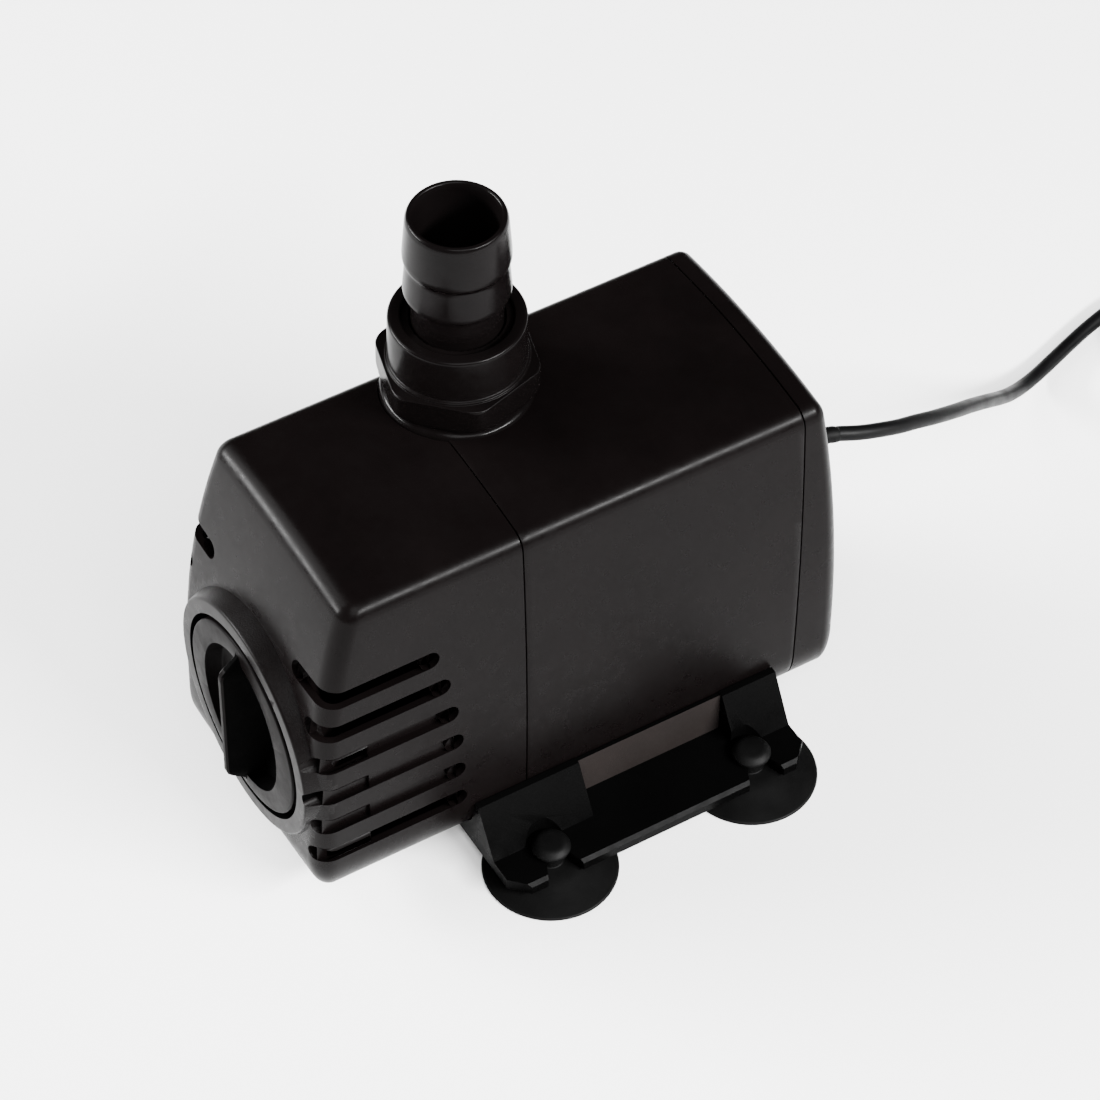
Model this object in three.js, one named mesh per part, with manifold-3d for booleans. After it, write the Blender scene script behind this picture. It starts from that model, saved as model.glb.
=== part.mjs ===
// Fountain submersible pump, in millimetres, +Z up. The front cover and its dial face -Y, the cord leaves
// the rear cap at +Y, and the suction cups stand on z = 0. The origin is under the middle of the pump.
import * as THREE from 'three';
import { mergeVertices } from 'three/addons/utils/BufferGeometryUtils.js';
import Module from 'manifold-3d';

const wasm = await Module();
wasm.setup();

// ---------------------------------------------------------------- driving dimensions

const gap = 0.3; // clearance between touching pieces
const wall = 2.5; // casing wall

// Casing: a rounded box of three shells, wider at the bottom, with a crowned top and a leaning front.
const casing = {
  middle: -2.15, top: 137.5, bottom: 12.5, halfTop: 42.15, halfBottom: 45.8, crown: 3, sideBulge: 1.6,
  topRadius: 5, lowerFillet: { across: 6, up: 14.5 },
};
const front = { top: -79.5, end: -95, cornerRadius: 7 };
const rear = { top: 91.2, middle: 104.5, bottom: 103, corner: 98.5 };
const seam = { front: -19, rear: 83 };
const partition = { front: 11, rear: 14 };

// Motor shaft, along Y, and the dial, which shares its line.
const shaftHeight = 60;
const shaftRadius = 2;

// Strainer slots, stacked in pairs round the two front corners.
const slots = { count: 6, lowest: 33, pitch: 14.2, height: 6.6 };

// Flow dial: a disc with an oval finger bowl and a grip in it, in a round boss on the front cover.
const dial = {
  radius: 33.5, face: -97, thickness: 11, bowl: { across: 23.5, up: 27, depth: 8 },
  grip: { tip: -104.3, halfLength: 32, bulge: 12, halfCrest: 1.2, halfRoot: 5 },
  ringGap: 1.6, bossRadius: 40.5, bossFoot: 43, bossDepth: 8,
  stem: { radius: 4, shoulder: -58, tip: -53.7, tipRadius: 2.6 },
};

// Outlet, on top of the motor housing and set to the left.
const outlet = {
  x: -24.5, y: -4.2, bossRadius: 24.5, bossFootRadius: 17, bossTop: 142.8,
  boreRadius: 11.5, spigotRadius: 16, spigotFoot: 124, spigotTop: 160,
};
const nut = {
  cornerAngle: -Math.PI / 12, hexHalf: 23.6, bottom: 143.9, bore: 17.4, hexTop: 154,
  collarRadius: 21.6, top: 171.4, lip: 166.5,
};
const tail = {
  bore: 13.3, throat: 11.7, stemRadius: 14.4, flangeRadius: 16.2, barbRadius: 16.8, waistRadius: 14.9,
  mouthRadius: 15.7, lowerBarb: 183.5, waist: 193.5, upperBarb: 197.5, top: 213.4,
};

// Base bracket and its four suction cups.
const bracket = {
  half: 70.5, from: -38.4, to: 74.2, plateBottom: 4.9, plateTop: 9.3, shoulder: 26.5, slopeTop: 46.5, slopeFoot: 56,
  wallFrom: 38, wallThickness: 8, legFrom: 34,
};
const bracketWindow = { from: -1, to: 53.5 };
const cup = { x: 60.7, ys: [-19.8, 56.6], radius: 22.4, neckRadius: 4, mouthHalf: 8.5, headRadius: 6.6 };

// Cord: a round two-core lead that drops from the rear cap to the floor and runs away from the pump.
const cordRadius = 2.6;
const reliefStart = [0, 105, 77];
const cordRoute = [
  [4.7, 122.5, 75.8], [6.7, 130, 74.1], [7.3, 138, 71.7], [6.8, 146, 68.6], [5.2, 154, 65],
  [3.3, 162, 60.8], [0.8, 169.5, 56.3], [-2.6, 177.5, 50.8], [-7, 186, 44.2], [-12, 195, 36.5],
  [-17.5, 204, 28], [-23, 213, 19.5], [-28.3, 222, 12], [-33, 231, 6.8], [-37, 240, 4.1],
  [-41, 250, 3], [-45, 261, 2.8], [-49, 274, 2.9], [-51, 284, 3.3], [-51.3, 294.5, 3.7],
];
const coil = { x: -12.3, y: 316, middle: 31.2, halfWidth: 10.5, bottom: 1.1, height: 10.6 };
const cordEnd = [[9, 355, 8.9], [15, 355, 8.5], [21, 355, 7], [27, 355, 6.5]];
const plug = { start: 27.3, y: 355, length: 36, half: 14, height: 13, pinLength: 19 };

// ---------------------------------------------------------------- colours

const plastic = { color: 0x1d1b1c, roughness: 0.55, metalness: 0 };
const softBlack = { color: 0x121212, roughness: 0.75, metalness: 0 };
const steel = { color: 0xb8babd, roughness: 0.35, metalness: 1 };
const laminated = { color: 0x6d6f73, roughness: 0.5, metalness: 0.9 };
const copper = { color: 0xa8572b, roughness: 0.4, metalness: 0.9 };
const magnetGrey = { color: 0x3a3a3d, roughness: 0.6, metalness: 0.2 };
const ceramic = { color: 0xe9e7e0, roughness: 0.25, metalness: 0 };
const resin = { color: 0x2a2320, roughness: 0.4, metalness: 0 };

// ---------------------------------------------------------------- geometry helpers

const pump = new THREE.Group();

function toSolid(geometry) {
  const bare = geometry.clone();
  bare.deleteAttribute('normal');
  bare.deleteAttribute('uv');
  const merged = mergeVertices(bare, 1e-4);
  const index = merged.index.array;
  const triangles = [];
  for (let i = 0; i < index.length; i += 3) {
    const [a, b, c] = [index[i], index[i + 1], index[i + 2]];
    if (a !== b && b !== c && c !== a) triangles.push(a, b, c);
  }
  const vertProperties = new Float32Array(merged.attributes.position.array);
  return new wasm.Manifold(new wasm.Mesh({ numProp: 3, vertProperties, triVerts: new Uint32Array(triangles) }));
}

function toGeometry(solid) {
  const mesh = solid.getMesh();
  const geometry = new THREE.BufferGeometry();
  geometry.setAttribute('position', new THREE.BufferAttribute(new Float32Array(mesh.vertProperties), 3));
  geometry.setIndex(new THREE.BufferAttribute(new Uint32Array(mesh.triVerts), 1));
  geometry.computeVertexNormals();
  return geometry;
}

function union(...solids) {
  return solids.reduce((total, solid) => total.add(solid));
}

function addNode(name, solid, look) {
  const mesh = new THREE.Mesh(toGeometry(solid), new THREE.MeshStandardMaterial(look));
  mesh.name = name;
  pump.add(mesh);
}

// A shape drawn in the two axes across `axis`, swept from one place on that axis to another.
// Shapes are drawn as (x, z) along Y, as (y, z) along X and as (x, y) along Z.
function extrude(shape, axis, from, to, curveSegments = 4) {
  const geometry = new THREE.ExtrudeGeometry(shape, { depth: to - from, bevelEnabled: false, curveSegments });
  if (axis === 'z') {
    geometry.translate(0, 0, from);
  } else if (axis === 'y') {
    geometry.rotateX(Math.PI / 2);
    geometry.translate(0, to, 0);
  } else {
    geometry.translate(0, 0, from);
    geometry.applyMatrix4(new THREE.Matrix4().set(0, 0, 1, 0, 1, 0, 0, 0, 0, 1, 0, 0, 0, 0, 0, 1));
  }
  return toSolid(geometry);
}

function polygon(points) {
  return new THREE.Shape(points.map(([x, y]) => new THREE.Vector2(x, y)));
}

function box(x0, x1, y0, y1, z0, z1) {
  const geometry = new THREE.BoxGeometry(x1 - x0, y1 - y0, z1 - z0);
  geometry.translate((x0 + x1) / 2, (y0 + y1) / 2, (z0 + z1) / 2);
  return toSolid(geometry);
}

// A turned piece from a closed profile of (radius, place on the axis) points, about a line along Z or Y.
function turned(profile, axis, x, other, segments = 28) {
  const points = profile.map(([radius, along]) => new THREE.Vector2(radius, along));
  const geometry = new THREE.LatheGeometry(points, segments);
  if (axis === 'z') {
    geometry.rotateX(Math.PI / 2);
    geometry.translate(x, other, 0);
  } else {
    geometry.translate(x, 0, other);
  }
  return toSolid(geometry);
}

// Profiles run up the axis, outside first, so that the faces point out.
function rod(radius, from, to) {
  return [[0, from], [radius, from], [radius, to], [0, to]];
}

function ring(inner, outer, from, to) {
  return [[inner, from], [outer, from], [outer, to], [inner, to], [inner, from]];
}

function alongMotor(profile, segments) {
  return turned(profile, 'y', 0, shaftHeight, segments);
}

function alongOutlet(profile, segments) {
  return turned(profile, 'z', outlet.x, outlet.y, segments);
}

// ---------------------------------------------------------------- casing

// Cross-section of the casing in (x, z), `inset` inside its outer face.
function casingSection(inset) {
  const top = casing.top - inset;
  const bottom = casing.bottom + inset;
  const halfTop = casing.halfTop - inset;
  const halfBottom = casing.halfBottom - inset;
  const topRadius = casing.topRadius - inset / 2;
  const filletAcross = casing.lowerFillet.across - inset / 2;
  const filletUp = casing.lowerFillet.up - inset / 2;
  const halfMiddle = (halfTop + halfBottom) / 2 + 2 * casing.sideBulge;
  const middle = (top + bottom) / 2;
  const shape = new THREE.Shape();
  shape.moveTo(-halfBottom + filletAcross, bottom);
  shape.lineTo(halfBottom - filletAcross, bottom);
  shape.quadraticCurveTo(halfBottom, bottom, halfBottom, bottom + filletUp);
  shape.quadraticCurveTo(halfMiddle, middle, halfTop, top - topRadius);
  shape.quadraticCurveTo(halfTop, top, halfTop - topRadius, top);
  shape.quadraticCurveTo(0, top + 2 * casing.crown, -halfTop + topRadius, top);
  shape.quadraticCurveTo(-halfTop, top, -halfTop, top - topRadius);
  shape.quadraticCurveTo(-halfMiddle, middle, -halfBottom, bottom + filletUp);
  shape.quadraticCurveTo(-halfBottom, bottom, -halfBottom + filletAcross, bottom);
  return shape;
}

// Profile of the casing in (y, z), seen from the side: both ends lean inwards at the top.
function sideProfile(inset) {
  const above = casing.top + 20;
  const bottom = casing.bottom + inset;
  const knee = casing.bottom + 20;
  const bend = 95;
  const shape = new THREE.Shape();
  shape.moveTo(front.end + inset + 5, bottom);
  shape.lineTo(rear.bottom - inset - 6, bottom);
  shape.quadraticCurveTo(rear.bottom - inset, bottom, rear.middle - inset, knee + 13);
  shape.quadraticCurveTo(rear.middle - inset, bend, rear.top - inset, casing.top);
  shape.lineTo(rear.top - inset - 4, above);
  shape.lineTo(front.top + inset + 4, above);
  shape.lineTo(front.top + inset, casing.top);
  shape.quadraticCurveTo(front.end + inset, bend, front.end + inset, knee);
  shape.quadraticCurveTo(front.end + inset, bottom, front.end + inset + 5, bottom);
  return shape;
}

// Outline of the casing in (x, y), seen from above: a flat front and a bowed rear with rounded corners.
function planOutline(inset) {
  const half = casing.halfBottom + 3;
  const near = front.end + inset;
  const corner = front.cornerRadius + 2;
  const far = rear.corner - inset;
  const shape = new THREE.Shape();
  shape.moveTo(-half, near + corner);
  shape.quadraticCurveTo(-half + 2, near, -half + corner, near);
  shape.lineTo(half - corner, near);
  shape.quadraticCurveTo(half - 2, near, half, near + corner);
  shape.lineTo(half, far - 5);
  shape.quadraticCurveTo(half - 3, far, half - 10, far + 1.5);
  shape.quadraticCurveTo(0, far + 10, -half + 10, far + 1.5);
  shape.quadraticCurveTo(-half + 3, far, -half, far - 5);
  return shape;
}

function casingSolid(inset) {
  const reach = 140;
  return extrude(casingSection(inset), 'y', -reach, reach)
    .intersect(extrude(sideProfile(inset), 'x', -reach, reach, 6))
    .intersect(extrude(planOutline(inset), 'z', 0, 2 * reach))
    .translate([casing.middle, 0, 0]);
}

const outer = casingSolid(0);
const inner = casingSolid(wall);
const far = 200;

function between(from, to) {
  return box(-far, far, from, to, -far, far);
}

// Each slot wraps round a front corner: a level cutter along the side and in from the front face.
function slotCutters() {
  const sideEnds = [-41, -41.5, -42, -43.5, -46, -49.5];
  const frontEnds = {
    right: [37.5, 38.8, 38.8, 37.5, 32.5, 21.5],
    left: [43.5, 44, 44, 43.5, 41, 29],
  };
  const cutters = [];
  for (let i = 0; i < slots.count; i++) {
    const low = slots.lowest + i * slots.pitch - slots.height / 2;
    const high = low + slots.height;
    for (const side of [-1, 1]) {
      const inside = side > 0 ? frontEnds.right[i] : -frontEnds.left[i];
      const beyond = side * far;
      cutters.push(box(Math.min(inside, beyond), Math.max(inside, beyond), -far, sideEnds[i], low, high));
    }
  }
  return union(...cutters);
}

function frontCover() {
  const boreRadius = dial.radius + dial.ringGap;
  const recessFloor = dial.face + dial.thickness + 0.8;
  const shell = outer.intersect(between(-far, seam.front - gap / 2)).subtract(inner);
  const bossBack = dial.face + dial.bossDepth;
  const boss = alongMotor([
    [boreRadius, dial.face], [dial.bossRadius, dial.face], [dial.bossFoot, bossBack],
    [boreRadius + wall, bossBack], [boreRadius + wall, recessFloor + wall], [boreRadius, recessFloor + wall],
    [boreRadius, dial.face],
  ], 48);
  const floor = alongMotor(rod(boreRadius + 1, recessFloor, recessFloor + wall), 48);
  return union(shell.subtract(alongMotor(rod(boreRadius, -far, recessFloor), 48)), boss, floor)
    .subtract(slotCutters())
    .subtract(alongMotor(rod(dial.stem.radius + gap, -far, far)))
    .subtract(alongOutlet(rod(outlet.bossRadius + 0.6, casing.top - 30, far)));
}

function motorHousing() {
  const shell = outer
    .intersect(between(seam.front + gap / 2, seam.rear - gap / 2))
    .subtract(inner.intersect(between(-far, partition.front)))
    .subtract(inner.intersect(between(partition.rear, far)));
  const boss = alongOutlet([
    [0, outlet.spigotFoot - 5], [outlet.bossFootRadius, outlet.spigotFoot - 5], [outlet.bossRadius, casing.top + 1],
    [outlet.bossRadius, outlet.bossTop - 1], [outlet.bossRadius - 1, outlet.bossTop], [0, outlet.bossTop],
  ]);
  return union(shell, boss)
    .subtract(alongOutlet(rod(outlet.boreRadius, casing.top - 40, far)))
    .subtract(alongOutlet(rod(outlet.spigotRadius + gap, outlet.spigotFoot - gap, far)))
    .subtract(alongMotor(rod(16.6, -far, far)));
}

// The threaded tube that the union nut screws on, held in the boss on top of the housing.
function outletSpigot() {
  return alongOutlet(ring(outlet.boreRadius, outlet.spigotRadius, outlet.spigotFoot, outlet.spigotTop), 36);
}

function rearCap() {
  const shell = outer.intersect(between(seam.rear + gap / 2, far)).subtract(inner);
  const bossShape = (x, z) => turned(rod(5.5, seam.rear + gap / 2, far), 'y', x, z, 16);
  const bosses = rearScrewPlaces().map(([x, z]) => bossShape(x, z).intersect(outer));
  const wells = rearScrewPlaces().map(([x, z]) => union(
    turned(rod(1.9, 0, far), 'y', x, z, 12),
    turned(rod(3.8, 88, far), 'y', x, z, 16),
  ));
  return union(shell, ...bosses)
    .subtract(union(...wells))
    .subtract(turned(rod(7.3, 0, far), 'y', 0, reliefStart[2], 24));
}

function rearScrewPlaces() {
  return [[-31, 30], [31, 30], [-29, 122], [29, 122]];
}

// A pan-head screw along Y with its head at the low or the high end.
function screw(x, z, head, tip, shankRadius, headRadius) {
  const side = Math.sign(head - tip);
  const under = head - side * 2;
  const shank = turned(rod(shankRadius, Math.min(under, tip), Math.max(under, tip)), 'y', x, z, 8);
  return union(shank, turned(rod(headRadius, Math.min(head, under), Math.max(head, under)), 'y', x, z, 12));
}

// ---------------------------------------------------------------- flow control

function flowDial() {
  const back = dial.face + dial.thickness;
  const disc = alongMotor([
    [0, dial.face - 0.8], [dial.radius - 1.5, dial.face - 0.4], [dial.radius, dial.face + 0.8], [dial.radius, back],
    [0, back],
  ], 48);
  const { tip, halfLength, bulge, halfCrest, halfRoot } = dial.grip;
  const outline = new THREE.Shape();
  outline.moveTo(0, -halfLength);
  outline.quadraticCurveTo(bulge, 0, 0, halfLength);
  outline.quadraticCurveTo(-bulge, 0, 0, -halfLength);
  const root = back - 2;
  const section = polygon([[-halfRoot, root], [-halfCrest, tip], [halfCrest, tip], [halfRoot, root]]);
  const crest = extrude(section, 'z', 0, far);
  const lifted = extrude(outline, 'y', tip, root, 10).translate([0, 0, shaftHeight]);
  const bowlShape = new THREE.SphereGeometry(1, 32, 20).scale(dial.bowl.across, dial.bowl.depth, dial.bowl.up);
  const bowl = toSolid(bowlShape.translate(0, dial.face, shaftHeight));
  const { stem } = dial;
  const shank = alongMotor([
    [0, back - 1], [stem.radius, back - 1], [stem.radius, stem.shoulder], [stem.tipRadius, stem.shoulder],
    [stem.tipRadius, stem.tip], [0, stem.tip],
  ], 20);
  return union(disc.subtract(bowl), lifted.intersect(crest), shank);
}

// A half disc behind the dial's stem, which covers the suction snout when the dial is turned.
function flowShutter() {
  const { shoulder, tip, tipRadius } = dial.stem;
  const bore = tipRadius + gap;
  const hub = alongMotor(ring(bore, 6, shoulder + gap, tip), 20);
  const blade = alongMotor(rod(14, tip - 2, tip), 32).intersect(box(-far, -bore - gap, -far, far, -far, far));
  return union(hub, blade).subtract(alongMotor(rod(bore, -far, far), 20));
}

// ---------------------------------------------------------------- pump chamber

const chamber = { front: -15.5, rear: 8, inner: 27.5, outer: 30, eye: 11, snoutTip: -52 };

function volute() {
  const riser = alongOutlet(rod(11, shaftHeight, casing.top - 24));
  const cupBody = alongMotor(rod(chamber.outer, chamber.front, chamber.rear), 48);
  return union(cupBody, riser)
    .subtract(alongMotor(rod(chamber.inner, -far, chamber.rear - 2), 48))
    .subtract(alongMotor(rod(15, -far, far)))
    .subtract(alongOutlet(rod(8.5, shaftHeight, far)));
}

function voluteCover() {
  const plate = alongMotor(rod(chamber.outer, chamber.front - 2.7, chamber.front - gap), 48);
  const snout = alongMotor(rod(chamber.eye + 1.8, chamber.snoutTip, chamber.front - gap), 32);
  const spokes = [0, 60, 120].map((angle) => {
    const spoke = new THREE.BoxGeometry(2, 2, 2 * chamber.eye + 1);
    spoke.rotateY(THREE.MathUtils.degToRad(angle));
    spoke.translate(0, chamber.front - 1.3, shaftHeight);
    return toSolid(spoke);
  });
  const hub = alongMotor(rod(5.6, chamber.front - 4, chamber.front - gap), 20);
  return union(union(plate, snout).subtract(alongMotor(rod(chamber.eye, -far, far), 32)), ...spokes, hub)
    .subtract(alongMotor(rod(3.8, -far, far), 20));
}

function impeller() {
  const plate = alongMotor(rod(22, 3, 5), 40);
  const hub = alongMotor(rod(6, -11, 5), 24);
  const vaneCount = 6;
  const vanes = [];
  for (let i = 0; i < vaneCount; i++) {
    const vane = new THREE.BoxGeometry(1.8, 11, 17);
    vane.translate(0, -2, 13);
    vane.rotateY((i / vaneCount) * 2 * Math.PI);
    vane.translate(0, 0, shaftHeight);
    vanes.push(toSolid(vane));
  }
  return union(plate, hub, ...vanes).subtract(alongMotor(rod(shaftRadius + gap, -far, far), 20));
}

// ---------------------------------------------------------------- motor

const stack = {
  from: 22, to: 64, bore: 16.9, legInner: 15, legOuter: 31, shoeBottom: 38, shoeTop: 80, yokeBottom: 110, top: 125,
};

function statorCore() {
  const profile = polygon([
    [-stack.legOuter, stack.shoeBottom], [-1.5, stack.shoeBottom], [-1.5, shaftHeight - stack.bore + 2],
    [1.5, shaftHeight - stack.bore + 2], [1.5, stack.shoeBottom], [stack.legOuter, stack.shoeBottom],
    [stack.legOuter, stack.top], [-stack.legOuter, stack.top],
  ]);
  return extrude(profile, 'y', stack.from, stack.to)
    .subtract(box(-stack.legInner, stack.legInner, -far, far, stack.shoeTop - 1, stack.yokeBottom))
    .subtract(box(-1.5, 1.5, -far, far, shaftHeight, stack.shoeTop))
    .subtract(alongMotor(rod(stack.bore, -far, far)));
}

// A rectangular ring round one leg of the core, `clear` off the leg and `thickness` deep.
function legRing(side, clear, thickness, from, to) {
  const middle = (side * (stack.legInner + stack.legOuter)) / 2;
  const halfLeg = (stack.legOuter - stack.legInner) / 2 + clear;
  const halfOuter = halfLeg + thickness;
  const y0 = stack.from - clear;
  const y1 = stack.to + clear;
  return box(middle - halfOuter, middle + halfOuter, y0 - thickness, y1 + thickness, from, to)
    .subtract(box(middle - halfLeg, middle + halfLeg, y0, y1, from - 1, to + 1));
}

function bobbin(side) {
  const sleeve = legRing(side, gap, 1.2, stack.shoeTop + gap, stack.yokeBottom - gap);
  const lower = legRing(side, gap, 5.6, stack.shoeTop + gap, stack.shoeTop + 1.7);
  const upper = legRing(side, gap, 5.6, stack.yokeBottom - 1.7, stack.yokeBottom - gap);
  return union(sleeve, lower, upper);
}

function winding(side) {
  return legRing(side, gap + 1.2 + gap, 3.6, stack.shoeTop + 2, stack.yokeBottom - 2);
}

function rotorCan() {
  return alongMotor([
    [0, 71], [4.3, 71], [4.3, 66.5], [14.6, 66.5], [14.6, 8.3], [29.5, 8.3], [29.5, 10.7], [16.2, 10.7],
    [16.2, 74], [0, 74],
  ]);
}

// ---------------------------------------------------------------- outlet pieces

function unionNut() {
  const hex = new THREE.Shape();
  const corner = nut.hexHalf / Math.cos(Math.PI / 6);
  const cornerCut = 0.1;
  for (let i = 0; i < 6; i++) {
    const turn = (i * Math.PI) / 3 + nut.cornerAngle;
    for (const offset of [-cornerCut, cornerCut]) {
      const radius = corner * 0.97;
      const x = radius * Math.cos(turn + offset);
      const y = radius * Math.sin(turn + offset);
      if (i === 0 && offset < 0) hex.moveTo(x, y);
      else hex.lineTo(x, y);
    }
  }
  const lower = extrude(hex, 'z', nut.bottom, nut.hexTop).translate([outlet.x, outlet.y, 0]);
  const collar = alongOutlet([
    [0, nut.hexTop - 1], [nut.collarRadius, nut.hexTop - 1], [nut.collarRadius, nut.top - 1],
    [nut.collarRadius - 1, nut.top], [0, nut.top],
  ], 36);
  return union(lower, collar)
    .subtract(alongOutlet(rod(nut.bore, 0, nut.lip), 36))
    .subtract(alongOutlet(rod(tail.stemRadius + 0.6, 0, far), 36));
}

function hoseTail() {
  const bottom = outlet.spigotTop + 2.2;
  return alongOutlet([
    [tail.throat, bottom], [tail.flangeRadius, bottom], [tail.flangeRadius, nut.lip - gap],
    [tail.stemRadius, nut.lip - gap], [tail.stemRadius, tail.lowerBarb - 1.5], [tail.barbRadius, tail.lowerBarb],
    [tail.waistRadius, tail.waist], [tail.waistRadius, tail.waist + 1.5], [tail.barbRadius, tail.upperBarb],
    [tail.mouthRadius, tail.top - 1.5], [tail.mouthRadius - 0.7, tail.top],
    [tail.bore, tail.top], [tail.throat, bottom + 12], [tail.throat, bottom],
  ], 36);
}

function oRing(middle, thickness, at, axis) {
  const profile = [];
  for (let i = 0; i <= 8; i++) {
    const angle = (i / 8) * 2 * Math.PI;
    profile.push([middle + (thickness / 2) * Math.cos(angle), at + (thickness / 2) * Math.sin(angle)]);
  }
  return axis === 'z' ? alongOutlet(profile) : alongMotor(profile);
}

// ---------------------------------------------------------------- base

function baseBracket() {
  const { half, from, to, plateBottom, plateTop } = bracket;
  const plate = box(-half, half, from, to, plateBottom, plateTop);
  const slope = [
    [bracket.legFrom, bracket.plateTop - 1], [bracket.slopeFoot, bracket.plateTop - 1],
    [bracket.slopeFoot, bracket.plateTop], [bracket.slopeTop, bracket.shoulder], [bracket.legFrom, bracket.shoulder],
  ];
  const wallTop = bracket.shoulder - 0.5;
  const wallProfile = (x) => [
    [x, plateTop - 1], [x + bracket.wallThickness, plateTop - 1], [x + bracket.wallThickness, wallTop], [x, wallTop],
  ];
  const mirrored = (points) => points.map(([x, z]) => [-x, z]).reverse();
  const pieces = [plate];
  for (const outline of [slope, mirrored(slope)]) {
    pieces.push(extrude(polygon(outline), 'y', bracket.from, bracketWindow.from));
    pieces.push(extrude(polygon(outline), 'y', bracketWindow.to, bracket.to));
  }
  const rightWall = wallProfile(bracket.wallFrom);
  const leftWall = mirrored(wallProfile(bracket.wallFrom - 2 * casing.middle));
  for (const outline of [rightWall, leftWall]) {
    pieces.push(extrude(polygon(outline), 'y', bracket.from, bracket.to));
  }
  for (const y of [bracket.from, bracket.to - 4]) {
    pieces.push(box(-40, 40, y, y + 4, bracket.plateTop - 1, bracket.shoulder - 1));
  }
  const cuts = [];
  for (const side of [-1, 1]) {
    for (const y of cup.ys) {
      const edge = side * (bracket.half + 1);
      const middle = side * cup.x;
      cuts.push(turned(rod(cup.neckRadius + 0.4, 0, 30), 'z', middle, y, 20));
      const neckEnd = middle + side * cup.neckRadius;
      const mouth = polygon([
        [middle, y - cup.neckRadius], [neckEnd, y - cup.neckRadius], [edge, y - cup.mouthHalf],
        [edge, y + cup.mouthHalf], [neckEnd, y + cup.neckRadius], [middle, y + cup.neckRadius],
      ]);
      cuts.push(extrude(mouth, 'z', 0, 30));
      cuts.push(turned(rod(cup.headRadius + 1.4, bracket.plateTop, 60), 'z', middle, y, 24));
    }
  }
  return union(...pieces).subtract(union(...cuts)).subtract(casingSolid(-gap));
}

function suctionCup(x, y) {
  return turned([
    [0, 2.4], [10, 2], [20, 0], [cup.radius, 0], [cup.radius, 0.8], [9, 4.2], [cup.neckRadius, 4.4],
    [cup.neckRadius, bracket.plateTop + 0.4], [cup.headRadius, bracket.plateTop + 0.6], [cup.headRadius, 11.4],
    [4.5, 13.2], [0, 13.2],
  ], 'z', x, y, 24);
}

// ---------------------------------------------------------------- cord

function curveThrough(points) {
  const places = points.map(([x, y, z]) => new THREE.Vector3(x, y, z));
  return new THREE.CatmullRomCurve3(places, false, 'centripetal');
}

function circle(radius, sides) {
  const points = [];
  for (let i = 0; i < sides; i++) {
    const angle = (i / sides) * 2 * Math.PI;
    points.push([radius * Math.cos(angle), radius * Math.sin(angle)]);
  }
  return polygon(points);
}

function cordTube(points, steps) {
  const extrudePath = curveThrough(points);
  return toSolid(new THREE.ExtrudeGeometry(circle(cordRadius, 8), { steps, extrudePath }));
}

// Tapered boot on the line from the rear cap to the start of the cord.
function strainRelief() {
  const start = new THREE.Vector3(...reliefStart);
  const end = new THREE.Vector3(...cordRoute[0]);
  const length = start.distanceTo(end) - 3 * gap;
  const profile = [[0, 0], [6, 0], [5.6, 3], [3.6, length], [0, length]];
  const geometry = new THREE.LatheGeometry(profile.map(([r, s]) => new THREE.Vector2(r, s)), 24);
  const forward = end.clone().sub(start).normalize();
  const turn = new THREE.Quaternion().setFromUnitVectors(new THREE.Vector3(0, 1, 0), forward);
  geometry.applyQuaternion(turn);
  geometry.translate(...reliefStart);
  return toSolid(geometry);
}

function cordCoil() {
  const top = coil.bottom + coil.height;
  const profile = ring(coil.middle - coil.halfWidth, coil.middle + coil.halfWidth, coil.bottom, top);
  return turned(profile, 'z', coil.x, coil.y, 40);
}

// A strap round the turns of the coil, on its `side` towards +X or -X.
function coilTie(side) {
  const strap = 0.8;
  const top = coil.bottom + coil.height + gap + strap;
  const middle = coil.x + side * coil.middle;
  const halfIn = coil.halfWidth + gap;
  return box(middle - halfIn - strap, middle + halfIn + strap, coil.y - 4, coil.y + 4, 0, top)
    .subtract(box(middle - halfIn - 0.6, middle + halfIn + 0.6, coil.y - 5, coil.y + 5, strap, top - strap));
}

function plugBody() {
  const { half, length } = plug;
  const outline = new THREE.Shape();
  outline.moveTo(0, -5);
  outline.quadraticCurveTo(length * 0.45, -half + 1, length - 4, -half);
  outline.lineTo(length, -half + 3);
  outline.lineTo(length, half - 3);
  outline.lineTo(length - 4, half);
  outline.quadraticCurveTo(length * 0.45, half - 1, 0, 5);
  return extrude(outline, 'z', 0, plug.height).translate([plug.start, plug.y, 0]);
}

function plugPin(offset) {
  const pin = new THREE.CylinderGeometry(2.4, 2.4, plug.pinLength, 16);
  pin.rotateZ(Math.PI / 2);
  pin.translate(plug.start + plug.length + gap + plug.pinLength / 2, plug.y + offset, plug.height / 2);
  return toSolid(pin);
}

// ---------------------------------------------------------------- assembly

addNode('front_cover', frontCover(), plastic);
addNode('flow_dial', flowDial(), plastic);
addNode('flow_shutter', flowShutter(), softBlack);
addNode('motor_housing', motorHousing(), plastic);
addNode('outlet_spigot', outletSpigot(), plastic);
addNode('rear_cap', rearCap(), plastic);
addNode('volute', volute(), plastic);
addNode('volute_cover', voluteCover(), plastic);
addNode('impeller', impeller(), resin);
addNode('rotor_magnet', alongMotor(ring(shaftRadius + gap, 13.6, 12, 62), 32), magnetGrey);
addNode('shaft', alongMotor(rod(shaftRadius, chamber.front - 3.5, 70), 20), ceramic);
const bushBore = shaftRadius + gap;
addNode('front_bush', alongMotor(ring(bushBore, 3.8 - gap, chamber.front - 3.8, chamber.front), 20), softBlack);
addNode('rear_bush', alongMotor(ring(bushBore, 4, 63.5, 70.7), 20), softBlack);
addNode('rotor_can', rotorCan(), resin);
addNode('stator_core', statorCore(), laminated);
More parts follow.
